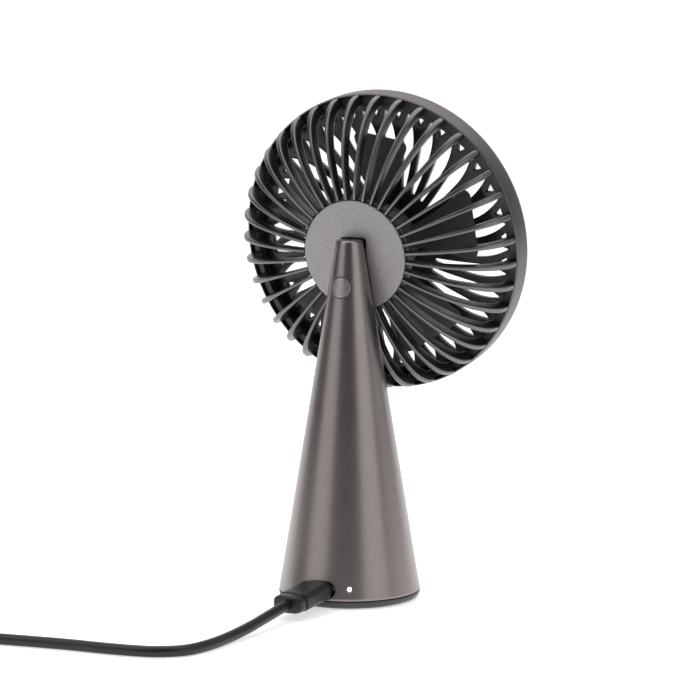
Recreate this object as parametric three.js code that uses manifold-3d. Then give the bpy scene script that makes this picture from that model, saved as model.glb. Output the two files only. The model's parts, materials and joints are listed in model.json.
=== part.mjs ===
// A small rechargeable desk fan: a slim cone stand that holds the battery and
// the charging port, a tilting round head with a ribbed rear grille, and a
// five-blade impeller on a hub motor. Millimetres, +Z up. The origin is the
// centre of the base on the table, and the fan blows towards -Y.
import * as THREE from "three";
import { mergeVertices } from "three/addons/utils/BufferGeometryUtils.js";
import Module from "manifold-3d";

const wasm = await Module();
wasm.setup();

const DEG = Math.PI / 180;
const GAP = 0.3; // between pieces that touch

// ---------------------------------------------------------------- dimensions
// Stand
const BASE_R = 25;
const FOOT_TOP = 2.8;
const CONE_BOTTOM = FOOT_TOP + GAP;
const CONE_TOP = 127.1;
const TIP_R = 4.6;
const TIP_ROUND = 1;
const WALL = 1.6;
const CAVITY_TOP = 116.5;
const CONE_SLOPE = (BASE_R - TIP_R) / (CONE_TOP - CONE_BOTTOM);
const CONE_ANGLE = Math.atan(CONE_SLOPE);
const coneRadius = (z) => BASE_R - CONE_SLOPE * (z - CONE_BOTTOM);

// Tilt hinge in the cone's tip
const PIVOT = { y: -1.6, z: 122.2 };
const SLOT = { halfWidth: 2.8, back: 2.2, low: 118.4, high: 126 };
const PIN_R = 1.1;
const PIN_ENDS = [-3.9, 4.7];
const KNUCKLE_R = 3.3;
const LUG_HALF = 1.9;
const LUG_ARM = { below: 2.1, above: 1.3 }; // thinner above, for the upward tilt
const LUG_SCREWS = { radius: 9.4, angles: [90, 210, 330] };
const MOTOR_SCREWS = { radius: 13.3, angles: [30, 150, 270] };

// Head: a frame at the rear disc's centre, x = +X, y = up the disc, z = forward
const FACE_UP = 8 * DEG;
const HUB = { y: -3.55, z: 121.2 };
const DISC_R = 19.64;
const DISC_THICK = 1.6;
const PLATE = { inner: 8.2, outer: 20.8, rear: 1.9, front: 3.9 };
const RIBS = 39;
const RIB_START = 1.1; // degrees, the first rib's place round the head
const RIB_PITCH = 360 / RIBS;
const RIB_END_R = 53.3;
const RIB_RISE = 20.2;
const RIB_ROUND = 0.95; // how early a rib turns over towards the rim
const RIB_DEPTH = 4.2;
const RIB_THICK = 1.6;
const RIM = { inner: 50.2, outer: 52.6, rear: 22, front: 26.6 };
const RING_R = 53.7;
const RING_REAR = 20.6;
const RING_FRONT = 30.2;
const FRONT_GRILLE = { rear: 26.9, front: 29, outer: 52, rimInner: 47.6, centreR: 17 };
const STRUTS = 32;
const STRUT_START = 8.45; // degrees, where the first strut meets the rim
const STRUT_LEAN = 9 * DEG;
const STRUT_FLARE = 1.2; // added to each side of a strut where it meets the rim

// Motor and impeller
const BASE_PLATE = { rear: 7.2, front: 8.4, outer: 15.5 };
const BEARING = { bore: 1.3, outer: 2.9, thick: 2.3 };
const SHAFT_R = 1;
const HUB_CUP = { rear: 9.8, front: 23.3, outer: 14, inner: 11.7 };
const BLADES = 5;
const BLADE = { tip: 41.3, rear: 15, rise: 7.2, halfSpan: 19 * DEG, thick: 1.2, round: 5 };

// Power button, on the rear of the stand
const BUTTON_Z = 110.9;
const BUTTON_R = 3.6;
const WIRE_Y = -2.6; // the motor lead runs up the stand in front of the axis

// Charging port, lead and far plug
const PORT_Z = 6.8;
const PLUG_DROOP = 3.2 * DEG;
const PLUG = { width: 11.8, height: 6.8, start: 25.4, length: 17.2, capLength: 4.4 };
const SHELL_END = 24.4; // the plug turns down from here
const CORD_D = 3.8;
const COIL = { x: 119, y: 99.8, mid: 21.5, pitch: 3.9, low: 0.75, high: 8.4 };
const COIL_REACH = COIL.pitch + CORD_D / 2;
const TIE_THICK = 0.5;

// The lead's centre line from the plug to the coil, laid by hand.
const CORD_ROUTE = [
  [0, 47.3, 5.5],
  [0, 52, 5.15],
  [-0.1, 58, 4.6],
  [-0.2, 64, 4.05],
  [-0.3, 73.4, 3.2],
  [0.1, 81.3, 2.5],
  [0.5, 88, 2.1],
  [0.8, 95, 1.95],
  [1.3, 101, 1.95],
  [2.6, 107.2, 1.95],
  [5, 111.6, 1.95],
  [8.6, 114.7, 1.95],
  [12.5, 116.8, 1.95],
  [17, 118.1, 1.95],
  [27.5, 119.5, 1.95],
  [42.5, 120.3, 1.95],
  [55, 121.7, 1.95],
  [68, 123.5, 1.95],
  [80, 124.8, 2],
  [92, 125.2, 2.35],
  [104.7, 125.2, 2.6],
];

// The lead's centre line from the coil to the far plug.
const TAIL_ROUTE = [
  [144.4, 85.5, 6.1],
  [144.4, 82, 5.6],
  [144.4, 78.5, 5],
  [144.4, 75.3, 4.6],
];
const FAR_PLUG = { x: 144.4, z: 4.4, back: 75, cap: 4, body: 22, shell: 12.5 };

// ------------------------------------------------------------ shape functions
// A closed manifold-3d solid of a geometry, with its faces turned out.
function solid(geometry) {
  const bare = geometry.clone();
  bare.deleteAttribute("normal");
  bare.deleteAttribute("uv");
  const merged = mergeVertices(bare, 1e-4);
  const points = merged.attributes.position.array;
  const corners = Uint32Array.from(merged.index.array);
  const made = (triVerts) =>
    new wasm.Manifold(new wasm.Mesh({ numProp: 3, vertProperties: points, triVerts }));
  const first = made(corners);
  if (first.volume() > 0) return first;
  for (let i = 0; i < corners.length; i += 3) {
    [corners[i + 1], corners[i + 2]] = [corners[i + 2], corners[i + 1]];
  }
  return made(corners);
}

const joined = (parts) => parts.reduce((sum, part) => sum.add(part));
const cut = (body, tools) => tools.reduce((rest, tool) => rest.subtract(tool), body);

// A solid moved by a chain of [axis, angle] turns and then a shift.
function placed(body, { turns = [], at = [0, 0, 0] }) {
  const matrix = new THREE.Matrix4();
  for (const [axis, angle] of turns) {
    matrix.premultiply(new THREE.Matrix4()[`makeRotation${axis}`](angle));
  }
  matrix.premultiply(new THREE.Matrix4().makeTranslation(...at));
  return body.transform(matrix.elements);
}

// A body of revolution about Z from [radius, height] points.
function turned(points, segments = 48) {
  const profile = points.map(([r, z]) => new THREE.Vector2(r, z));
  const around = new THREE.LatheGeometry(profile, segments);
  around.rotateX(Math.PI / 2);
  return solid(around);
}

const closed = (points) => [...points, points[0]];

function rod(radius, low, high, segments = 24) {
  return turned([[0, low], [radius, low], [radius, high], [0, high]], segments);
}

function tube(inner, outer, low, high, segments = 48) {
  return turned(closed([[inner, low], [outer, low], [outer, high], [inner, high]]), segments);
}

function block(low, high) {
  const size = high.map((value, i) => value - low[i]);
  const middle = high.map((value, i) => (value + low[i]) / 2);
  return placed(solid(new THREE.BoxGeometry(...size)), { at: middle });
}

// An outline in the XY plane pushed up along Z.
function prism(points, low, high) {
  const shape = new THREE.Shape(points.map(([x, y]) => new THREE.Vector2(x, y)));
  const pushed = new THREE.ExtrudeGeometry(shape, { depth: high - low, bevelEnabled: false });
  pushed.translate(0, 0, low);
  return solid(pushed);
}

// A rectangle with round corners, as outline points.
function roundedRectangle(width, height, radius, steps = 4) {
  const points = [];
  const inX = width / 2 - radius;
  const inY = height / 2 - radius;
  [[inX, inY], [-inX, inY], [-inX, -inY], [inX, -inY]].forEach(([x, y], corner) => {
    for (let i = 0; i <= steps; i++) {
      const angle = (corner + i / steps) * 90 * DEG;
      points.push([x + radius * Math.cos(angle), y + radius * Math.sin(angle)]);
    }
  });
  return points;
}

// A rounded-rectangle bar along +Y, its width along X.
function barAlongY(width, height, radius, start, end, steps) {
  const bar = prism(roundedRectangle(width, height, radius, steps), -end, -start);
  return placed(bar, { turns: [["X", 90 * DEG]] });
}

// A round tube of eight sides along a hand-laid route.
function cordAlong(route, steps) {
  const curve = new THREE.CatmullRomCurve3(route.map((p) => new THREE.Vector3(...p)));
  const section = new THREE.Shape(
    Array.from({ length: 8 }, (_, i) => {
      const angle = (i + 0.5) * 45 * DEG;
      return new THREE.Vector2(Math.cos(angle), Math.sin(angle)).multiplyScalar(CORD_D / 2);
    }),
  );
  return solid(new THREE.ExtrudeGeometry(section, { steps, extrudePath: curve }));
}

// A screw with a round head: the shank runs from the origin along +Z.
function screwSolid(shank, headR, headThick, length) {
  return turned(
    [[0, -headThick], [headR, -headThick], [headR, 0], [shank, 0], [shank, length], [0, length]],
    8,
  );
}

// The point on a circle about Z, at a height.
const polar = (radius, degrees, z = 0) => [
  radius * Math.cos(degrees * DEG),
  radius * Math.sin(degrees * DEG),
  z,
];

// Copies at equal steps about Z.
function ringOf(count, start, make) {
  return Array.from({ length: count }, (_, i) =>
    placed(make(i), { turns: [["Z", (start + (360 / count) * i) * DEG]] }),
  );
}

// ------------------------------------------------------------- scene assembly
const fan = new THREE.Group();
const head = new THREE.Group();
head.position.set(0, HUB.y, HUB.z);
head.rotation.x = 90 * DEG - FACE_UP;
fan.add(head);

function add(name, body, colour, { metal = 0, rough = 0.5, parent = fan } = {}) {
  const { vertProperties, triVerts } = body.getMesh();
  const geometry = new THREE.BufferGeometry();
  geometry.setAttribute("position", new THREE.BufferAttribute(vertProperties, 3));
  geometry.setIndex(new THREE.BufferAttribute(triVerts, 1));
  geometry.computeVertexNormals();
  const material = new THREE.MeshStandardMaterial({
    color: colour,
    metalness: metal,
    roughness: rough,
  });
  const mesh = new THREE.Mesh(geometry, material);
  mesh.name = name;
  parent.add(mesh);
}

const GUNMETAL = 0x6b6565;
const RIB_GREY = 0x565152;
const TRIM_GREY = 0x8a817e;
const DISC_GREY = 0x8f8c8c;
const SLATE = 0x3a3d40;
const BLACK = 0x1c1c1e;
const STEEL = 0xb9bbbd;
const BRASS = 0xb08d57;
const BOARD = 0x1f5136;

// ---------------------------------------------------------------------- stand
// The cone's outside, grown by a clearance, as a solid.
function coneOutside(grow, growTop, segments) {
  const out = grow / Math.cos(CONE_ANGLE);
  const top = CONE_TOP + growTop;
  const corner = TIP_ROUND * 0.3;
  return turned(
    [
      [0, CONE_BOTTOM],
      [BASE_R + out, CONE_BOTTOM],
      [coneRadius(top - TIP_ROUND) + out, top - TIP_ROUND],
      [coneRadius(top) + out - corner, top - corner],
      [coneRadius(top) + out - TIP_ROUND, top],
      [0, top],
    ],
    segments,
  );
}

// Turns a solid made about Z so that it points out of the cone's rear face.
const outOfRear = (body, z) =>
  placed(body, { turns: [["X", -90 * DEG + CONE_ANGLE]], at: [0, coneRadius(z), z] });

const LED_ANGLE = 117 * DEG;
const LED_Z = 7.1;
const towardsLed = (body) =>
  placed(body, { turns: [["Y", 90 * DEG], ["Z", LED_ANGLE]], at: [0, 0, LED_Z] });

const BOSS_RADIUS = 20;
const BOSS_ANGLES = [30, 150, 270];
const atBosses = (angle) => polar(BOSS_RADIUS, angle);

function standCone() {
  const cavity = turned(
    [
      [0, CONE_BOTTOM - 1],
      [coneRadius(CONE_BOTTOM - 1) - WALL, CONE_BOTTOM - 1],
      [coneRadius(CAVITY_TOP) - WALL, CAVITY_TOP],
      [0, CAVITY_TOP],
    ],
    40,
  );
  const bosses = BOSS_ANGLES.map((a) =>
    placed(rod(3.2, CONE_BOTTOM, 9, 14), { at: atBosses(a) }).intersect(
      coneOutside(-0.4, 0, 48),
    ),
  );
  const pilots = BOSS_ANGLES.map((a) => placed(rod(0.95, 0, 8.6, 10), { at: atBosses(a) }));
  const hingeSlot = block(
    [-SLOT.halfWidth, -12, SLOT.low],
    [SLOT.halfWidth, SLOT.back, SLOT.high],
  );
  const pinBore = placed(rod(PIN_R + 0.2, PIN_ENDS[0] - GAP, 8, 16), {
    turns: [["Y", 90 * DEG]],
    at: [0, PIVOT.y, PIVOT.z],
  });
  return cut(joined([coneOutside(0, 0, 40).subtract(cavity), ...bosses]), [
    ...pilots,
    hingeSlot,
    pinBore,
    placed(rod(1.1, CAVITY_TOP - 1, SLOT.low + 1, 12), { at: [0, WIRE_Y, 0] }),
    outOfRear(rod(BUTTON_R + GAP, -6, 3, 20), BUTTON_Z),
    placed(barAlongY(12.6, 5.4, 2.6, 15, 30, 3), { at: [0, 0, PORT_Z] }),
    towardsLed(rod(1.05, 15, 30, 12)),
  ]);
}

add("stand_cone", standCone(), GUNMETAL, { metal: 0.8, rough: 0.38 });

// Rounded slate foot that closes the cone, with a recess for the rubber pad.
const PAD_R = 22.2;
const PAD_THICK = 0.9;
const foot = turned(
  [
    [0, PAD_THICK + GAP],
    [PAD_R + GAP, PAD_THICK + GAP],
    [PAD_R + GAP, 0.35],
    [BASE_R - 2.1, 0.35],
    [BASE_R - 0.9, 0.9],
    [BASE_R - 0.15, 1.75],
    [BASE_R, FOOT_TOP],
    [0, FOOT_TOP],
  ],
  40,
);
const screwWays = BOSS_ANGLES.map((a) => placed(rod(1, 0, 4, 8), { at: atBosses(a) }));
const screwSeats = BOSS_ANGLES.map((a) => placed(rod(2.1, 0, 1.9, 12), { at: atBosses(a) }));
add("base_foot", cut(foot, [...screwWays, ...screwSeats]), SLATE, { rough: 0.45 });
add("foot_pad", rod(PAD_R, 0, PAD_THICK, 40), BLACK, { rough: 0.9 });
BOSS_ANGLES.forEach((a, i) => {
  const [x, y] = atBosses(a);
  const screw = placed(screwSolid(0.7, 1.8, 0.6, 5.8), { at: [x, y, 2.2 - GAP] });
  add(`foot_screw_${i + 1}`, screw, STEEL, { metal: 0.9, rough: 0.35 });
});

// --------------------------------------------------------- electronics, power
const socketOutside = roundedRectangle(10, 4.2, 2.05, 4);
const socketInside = roundedRectangle(9, 3.2, 1.55, 4);
const alongPort = (points, start, end) =>
  placed(prism(points, -end, -start), { turns: [["X", 90 * DEG]], at: [0, 0, PORT_Z] });

add(
  "usb_c_socket",
  alongPort(socketOutside, 15, 22.6).subtract(alongPort(socketInside, 16, 24)),
  STEEL,
  { metal: 0.9, rough: 0.3 },
);
const boardNotches = BOSS_ANGLES.map((a) => placed(rod(3.7, 0, 9, 14), { at: atBosses(a) }));
const boardHoles = [-9, 9].map((x) => placed(rod(1, 0, 9, 12), { at: [x, -11, 0] }));
add("main_pcb", cut(rod(19.6, 3.3, 4.3, 32), [...boardNotches, ...boardHoles]), BOARD);
add("charge_inductor", block([-12.5, -4, 4.6], [-7.5, 1, 7.4]), BLACK, { rough: 0.6 });
add(
  "status_led",
  placed(block([-0.8, -0.6, 4.6], [0.8, 0.6, 7.6]), {
    turns: [["Z", LED_ANGLE]],
    at: [17.6 * Math.cos(LED_ANGLE), 17.6 * Math.sin(LED_ANGLE), 0],
  }),
  0xf6f4e8,
);
add("led_light_pipe", towardsLed(rod(0.75, 18.9, 24.25, 12)), 0xffffff, { rough: 0.2 });
add("ballast_ring", tube(11.8, 20, 9.6, 16, 32), STEEL, { metal: 0.9, rough: 0.5 });
add(
  "battery_holder",
  turned(
    closed([[3, 9.6], [11.3, 9.6], [11.3, 30], [9.6, 30], [9.6, 17.6], [3, 17.6]]),
    24,
  ),
  BLACK,
  { rough: 0.7 },
);
add("battery_cell", rod(9.1, 18, 83, 24), 0x2f6f9f, { rough: 0.35 });

// The motor lead's run inside the stand, from the battery to below the hinge.
add("stand_wire", placed(rod(0.6, 83.6, 116, 8), { at: [0, WIRE_Y, 0] }), 0x9c2a2a, { rough: 0.6 });

// --------------------------------------------------------------- power button
const rearBody = coneOutside(0, 0, 40);
const buttonCap = outOfRear(rod(BUTTON_R, -2.4, 2, 20), BUTTON_Z).intersect(rearBody);
const buttonStem = outOfRear(rod(1.3, -3.6, -2.2, 12), BUTTON_Z);
add("power_button", buttonCap.add(buttonStem), GUNMETAL, { metal: 0.7, rough: 0.4 });
add("button_switch", outOfRear(rod(2.1, -6.1, -4.5, 16), BUTTON_Z), BLACK, { rough: 0.5 });
add("button_board", outOfRear(block([-3.6, -5, -7.1], [3.6, 5, -6.4]), BUTTON_Z), BOARD);

// ----------------------------------------------------------------- tilt hinge
const aboutPivot = (body) =>
  placed(body, { turns: [["Y", 90 * DEG]], at: [0, PIVOT.y, PIVOT.z] });
add("hinge_pin", aboutPivot(rod(PIN_R, PIN_ENDS[0], PIN_ENDS[1], 16)), STEEL, {
  metal: 0.9,
  rough: 0.3,
});
for (const [side, sign] of [["left", -1], ["right", 1]]) {
  const ends = [sign * 2.05, sign * 2.45].sort((a, b) => a - b);
  const washer = aboutPivot(tube(1.45, 3, ends[0], ends[1], 20));
  add(`friction_washer_${side}`, washer, BRASS, { metal: 0.8, rough: 0.4 });
}

// The pivot in the head's own frame.
const fromHub = { y: PIVOT.y - HUB.y, z: PIVOT.z - HUB.z };
const PIVOT_UP = fromHub.y * Math.sin(FACE_UP) + fromHub.z * Math.cos(FACE_UP);
const PIVOT_FWD = -fromHub.y * Math.cos(FACE_UP) + fromHub.z * Math.sin(FACE_UP);
const inHead = (body) => {
  const toHead = new THREE.Matrix4()
    .compose(head.position, head.quaternion, new THREE.Vector3(1, 1, 1))
    .invert();
  return body.transform(toHead.elements);
};

// The cone's room in the head, kept clear over the whole tilt.
const TILT_MOST = 20;
const coneRoom = [0, TILT_MOST / 2, TILT_MOST].map((angle) => {
  const atRest = inHead(coneOutside(0.5, 0.6, 24));
  const down = placed(atRest, { at: [0, -PIVOT_UP, -PIVOT_FWD] });
  return placed(down, { turns: [["X", angle * DEG]], at: [0, PIVOT_UP, PIVOT_FWD] });
});

function tiltLug() {
  const knuckle = placed(rod(KNUCKLE_R, -LUG_HALF, LUG_HALF, 24), {
    turns: [["Y", 90 * DEG]],
    at: [0, PIVOT_UP, PIVOT_FWD],
  });
  const arm = block(
    [-LUG_HALF, PIVOT_UP - LUG_ARM.below, PIVOT_FWD],
    [LUG_HALF, PIVOT_UP + LUG_ARM.above, 5],
  );
  const flange = rod(11.2, 4.2, 5.4, 40);
  const bore = placed(rod(PIN_R + 0.2, -9, 9, 16), {
    turns: [["Y", 90 * DEG]],
    at: [0, PIVOT_UP, PIVOT_FWD],
  });
  const holes = LUG_SCREWS.angles.map((a) =>
    placed(rod(0.95, 3, 7, 12), { at: polar(LUG_SCREWS.radius, a) }),
  );
  return cut(joined([knuckle, arm, flange]), [bore, ...holes]);
}
add("tilt_lug", tiltLug(), BLACK, { rough: 0.55, parent: head });

// ----------------------------------------------------------------------- head
const discBlank = turned(
  [
    [0, 0],
    [DISC_R - 0.25, 0],
    [DISC_R, 0.25],
    [DISC_R, DISC_THICK],
    [0, DISC_THICK],
  ],
  48,
);
add("hub_disc", cut(discBlank, coneRoom), DISC_GREY, { metal: 0.7, rough: 0.45, parent: head });

// A rib's rear edge, from the disc's rim to the grille's rim.
function ribEdge(turn) {
  const start = DISC_R + GAP;
  const radius = start + (RIB_END_R - start) * Math.sin(turn) ** 1.13;
  const forward = RIB_RISE * (1 - Math.max(Math.cos(turn), 0) ** RIB_ROUND);
  return new THREE.Vector2(radius, forward + 0.05);
}

// A rib as an outline of [radius, forward] points.
function ribOutline() {
  const steps = 4;
  const rear = [];
  const inner = [];
  for (let i = 0; i <= steps; i++) {
    const turn = (i / steps) * 90 * DEG;
    const here = ribEdge(turn);
    const along = ribEdge(Math.min(turn + 0.02, 90 * DEG))
      .sub(ribEdge(Math.max(turn - 0.02, 0)))
      .normalize();
    rear.push([here.x, here.y]);
    inner.push([here.x - along.y * RIB_DEPTH, here.y + along.x * RIB_DEPTH]);
  }
  const first = inner.findIndex(([r]) => r >= rear[0][0]);
  const root = [rear[0][0] - 0.02, RIB_DEPTH];
  const innerEdge = inner.slice(first).filter(([, w]) => w < RIB_RISE);
  const atRim = [
    [RIM.outer - 0.1, RIB_RISE + 0.1],
    [RIM.outer - 0.1, RIM.rear + 1],
    [RIM.inner + 0.5, RIM.rear + 1],
  ];
  return [...rear, ...atRim, ...innerEdge.reverse(), root];
}

function rearGrille() {
  const plate = tube(PLATE.inner, PLATE.outer, PLATE.rear, PLATE.front, RIBS);
  const rim = tube(RIM.inner, RIM.outer, RIM.rear, RIM.front, RIBS);
  const outline = ribOutline();
  const ribs = Array.from({ length: RIBS }, (_, i) => {
    const flat = prism(outline, -RIB_THICK / 2, RIB_THICK / 2);
    const upright = placed(flat, { turns: [["X", 90 * DEG]] });
    return placed(upright, { turns: [["Z", (RIB_START + i * RIB_PITCH) * DEG]] });
  });
  const atEach = ({ radius, angles }, body) =>
    angles.map((a) => placed(body, { at: polar(radius, a) }));
  const bosses = atEach(MOTOR_SCREWS, rod(2, PLATE.front - 0.5, 6.9, 12));
  const motorHoles = atEach(MOTOR_SCREWS, rod(0.85, 2.6, 9, 10));
  const lugHoles = atEach(LUG_SCREWS, rod(0.85, 0, 5, 10));
  return cut(joined([plate, rim, ...ribs, ...bosses]), [...motorHoles, ...lugHoles, ...coneRoom]);
}
add("rear_grille", rearGrille(), RIB_GREY, { metal: 0.6, rough: 0.4, parent: head });

add(
  "trim_ring",
  turned(
    closed([
      [RIM.outer + GAP, RING_REAR + 0.5],
      [RING_R - 0.3, RING_REAR],
      [RING_R, RING_REAR + 0.5],
      [RING_R, RING_FRONT - 1.6],
      [RING_R - 0.4, RING_FRONT - 0.4],
      [RING_R - 1.6, RING_FRONT],
      [50.4, RING_FRONT - 0.2],
      [50.4, FRONT_GRILLE.front + GAP],
      [RIM.outer + GAP, FRONT_GRILLE.front + GAP],
    ]),
    48,
  ),
  TRIM_GREY,
  { metal: 0.7, rough: 0.35, parent: head },
);

// A front strut in plan: a gently leaning bar that widens at the rim.
function strutOutline() {
  const from = FRONT_GRILLE.centreR - 1;
  const to = FRONT_GRILLE.rimInner + 0.6;
  const left = [];
  const right = [];
  for (const part of [0, 0.72, 1]) {
    const r = from + (to - from) * part;
    const lean = -Math.tan(STRUT_LEAN) * Math.log(r / to);
    const half = 0.65 + STRUT_FLARE * Math.max(0, (part - 0.6) / 0.4) ** 2;
    left.push([r * Math.cos(lean + half / r), r * Math.sin(lean + half / r)]);
    right.push([r * Math.cos(lean - half / r), r * Math.sin(lean - half / r)]);
  }
  return [...right, ...left.reverse()];
}

function frontGrille() {
  const { rear, front, outer, rimInner, centreR } = FRONT_GRILLE;
  const struts = ringOf(STRUTS, STRUT_START, () => prism(strutOutline(), rear + 0.2, front - 0.2));
  return joined([
    tube(rimInner, outer, rear, front, STRUTS),
    rod(centreR, rear, front, STRUTS),
    ...struts,
  ]);
}
add("front_grille", frontGrille(), SLATE, { rough: 0.45, parent: head });
add(
  "front_cap",
  turned([[0, 29.3], [15.5, 29.3], [15.5, 29.9], [14.6, 30.7], [0, 30.9]], 36),
  TRIM_GREY,
  { metal: 0.7, rough: 0.4, parent: head },
);

LUG_SCREWS.angles.forEach((angle, i) => {
  const at = polar(LUG_SCREWS.radius, angle, 5.6);
  const screw = placed(screwSolid(0.6, 1.3, 0.8, 3.2), { turns: [["X", Math.PI]], at });
  add(`lug_screw_${i + 1}`, screw, STEEL, { metal: 0.9, rough: 0.35, parent: head });
});

// ---------------------------------------------------------------------- motor
const bearingTube = closed([
  [3.15, BASE_PLATE.rear],
  [BASE_PLATE.outer, BASE_PLATE.rear],
  [BASE_PLATE.outer, BASE_PLATE.front],
  [4, BASE_PLATE.front],
  [4, 20],
  [3.15, 20],
]);
const mountHoles = MOTOR_SCREWS.angles.map((a) =>
  placed(rod(0.95, 6, 9, 12), { at: polar(MOTOR_SCREWS.radius, a) }),
);
add("motor_base", cut(turned(bearingTube, 30), mountHoles), SLATE, { rough: 0.5, parent: head });
MOTOR_SCREWS.angles.forEach((angle, i) => {
  const at = polar(MOTOR_SCREWS.radius, angle, 8.65);
  const screw = placed(screwSolid(0.6, 1.4, 0.7, 4.8), { turns: [["X", Math.PI]], at });
  add(`motor_screw_${i + 1}`, screw, STEEL, { metal: 0.9, rough: 0.35, parent: head });
});
const { bore, outer: bearingOuter, thick: bearingThick } = BEARING;
for (const [name, start] of [["rear_bearing", 9], ["front_bearing", 17]]) {
  const race = tube(bore, bearingOuter, start, start + bearingThick, 24);
  add(name, race, STEEL, { metal: 0.9, rough: 0.25, parent: head });
}
add("motor_stator", tube(4.3, 9.6, 10.4, 17, 24), BRASS, { metal: 0.7, rough: 0.5, parent: head });
add("motor_pcb", tube(4.3, 10.6, 8.7, 9.6, 24), BOARD, { parent: head });

// The turning parts of the motor.
add("rotor_magnet", tube(10, HUB_CUP.inner - GAP, 10.2, 18, 30), 0x4a4a4c, {
  metal: 0.5,
  rough: 0.5,
  parent: head,
});
add("motor_shaft", rod(SHAFT_R, 8.6, 25.2, 16), STEEL, { metal: 0.95, rough: 0.2, parent: head });

// One blade: a thin sheet with a straight, round-cornered tip, twisted so that one edge
// stands further forward than the other.
function blade() {
  const across = 4;
  const along = 5;
  const points = [];
  const start = HUB_CUP.outer - 0.8;
  for (const face of [0, 1]) {
    for (let i = 0; i <= along; i++) {
      const r = start + ((BLADE.tip - start) * i) / along;
      const near = Math.max(0, (r - BLADE.tip + BLADE.round) / BLADE.round);
      const half = (BLADE.halfSpan - 0.1 * (1 - i / along)) * (1 - 0.25 * near ** 3);
      for (let j = 0; j <= across; j++) {
        const side = (2 * j) / across - 1;
        const angle = side * half;
        const w = BLADE.rear + (BLADE.rise * (1 - side * (half / BLADE.halfSpan))) / 2;
        const reach = r * (1 - (1 - Math.cos(BLADE.halfSpan) / Math.cos(angle)) * (i / along) ** 2);
        points.push(reach * Math.cos(angle), reach * Math.sin(angle), w + face * BLADE.thick);
      }
    }
  }
  const row = across + 1;
  const layer = row * (along + 1);
  const faces = [];
  const quad = (a, b, c, d) => faces.push(a, b, c, a, c, d);
  for (let i = 0; i < along; i++) {
    for (let j = 0; j < across; j++) {
      const a = i * row + j;
      quad(a, a + 1, a + row + 1, a + row);
      quad(a + layer, a + layer + row, a + layer + row + 1, a + layer + 1);
    }
    for (const [j, flip] of [[0, false], [across, true]]) {
      const a = i * row + j;
      if (flip) quad(a, a + layer, a + layer + row, a + row);
      else quad(a, a + row, a + layer + row, a + layer);
    }
  }
  for (let j = 0; j < across; j++) {
    const b = along * row + j;
    quad(j, j + layer, j + layer + 1, j + 1);
    quad(b, b + 1, b + layer + 1, b + layer);
  }
  const geometry = new THREE.BufferGeometry();
  geometry.setAttribute("position", new THREE.Float32BufferAttribute(points, 3));
  geometry.setIndex(faces);
  return solid(geometry);
}

function impeller() {
  const cup = turned(
    closed([
      [SHAFT_R + 0.2, 20.6],
      [HUB_CUP.inner, 20.6],
      [HUB_CUP.inner, HUB_CUP.rear],
      [HUB_CUP.outer, HUB_CUP.rear],
      [HUB_CUP.outer, HUB_CUP.front - 1],
      [HUB_CUP.outer - 1, HUB_CUP.front],
      [SHAFT_R + 0.2, HUB_CUP.front],
    ]),
    30,
  );
  return joined([cup, ...ringOf(BLADES, 23, blade)]);
}
add("impeller", impeller(), BLACK, { rough: 0.6, parent: head });
add(
  "impeller_nut",
  turned(closed([[SHAFT_R + 0.2, 23.6], [3, 23.6], [3, 25.2], [2.3, 25.9], [SHAFT_R + 0.2, 25.9]]), 20),
  STEEL,
  { metal: 0.9, rough: 0.3, parent: head },
);

// -------------------------------------------------------------- charging lead
const plugTilt = (body) =>
  placed(body, { turns: [["X", -PLUG_DROOP]], at: [0, SHELL_END, PORT_Z] });
const along = (points, start, end) =>
  placed(prism(points, -end, -start), { turns: [["X", 90 * DEG]] });
const bodyEnd = PLUG.start + PLUG.length;
const capEnd = bodyEnd + PLUG.capLength;
add(
  "usb_c_shell",
  placed(along(roundedRectangle(8.3, 2.5, 1.2, 4), 17, PLUG.start - GAP), { at: [0, 0, PORT_Z] }),
  STEEL,
  { metal: 0.95, rough: 0.25 },
);
add(
  "usb_c_plug_body",
  plugTilt(
    along(
      roundedRectangle(PLUG.width, PLUG.height, 3.1, 5),
      PLUG.start - SHELL_END,
      bodyEnd - SHELL_END,
    ),
  ),
  SLATE,
  { rough: 0.6 },
);
add(
  "usb_c_strain_relief",
  plugTilt(
    along(
      roundedRectangle(PLUG.width - 0.6, PLUG.height - 0.5, 2.9, 5),
      bodyEnd - SHELL_END + GAP,
      capEnd - SHELL_END,
    ),
  ),
  BLACK,
  { rough: 0.6 },
);
add("usb_cord", cordAlong(CORD_ROUTE, 40), BLACK, { rough: 0.55 });
add(
  "cord_coil",
  placed(
    tube(COIL.mid - COIL_REACH, COIL.mid + COIL_REACH, COIL.low, COIL.high, 40),
    { at: [COIL.x, COIL.y, 0] },
  ),
  BLACK,
  { rough: 0.55 },
);

// The strap that holds the coil, round one side of it. Its inner side stands
// off a little more, because the coil curves towards it.
function coilTie() {
  const room = 0.25;
  const half = 3.2;
  const near = COIL.mid - COIL_REACH - 3 * room;
  const far = COIL.mid + COIL_REACH + room;
  const [low, high] = [COIL.low - room, COIL.high + room];
  const loop = block(
    [near - TIE_THICK, -half, low - TIE_THICK],
    [far + TIE_THICK, half, high + TIE_THICK],
  );
  const strap = loop.subtract(block([near, -5, low], [far, 5, high]));
  return placed(strap, { turns: [["Z", -60 * DEG]], at: [COIL.x, COIL.y, 0] });
}
add("coil_tie", coilTie(), 0x2a2a2c, { rough: 0.9 });
add("cord_tail", cordAlong(TAIL_ROUTE, 5), BLACK, { rough: 0.55 });

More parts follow.
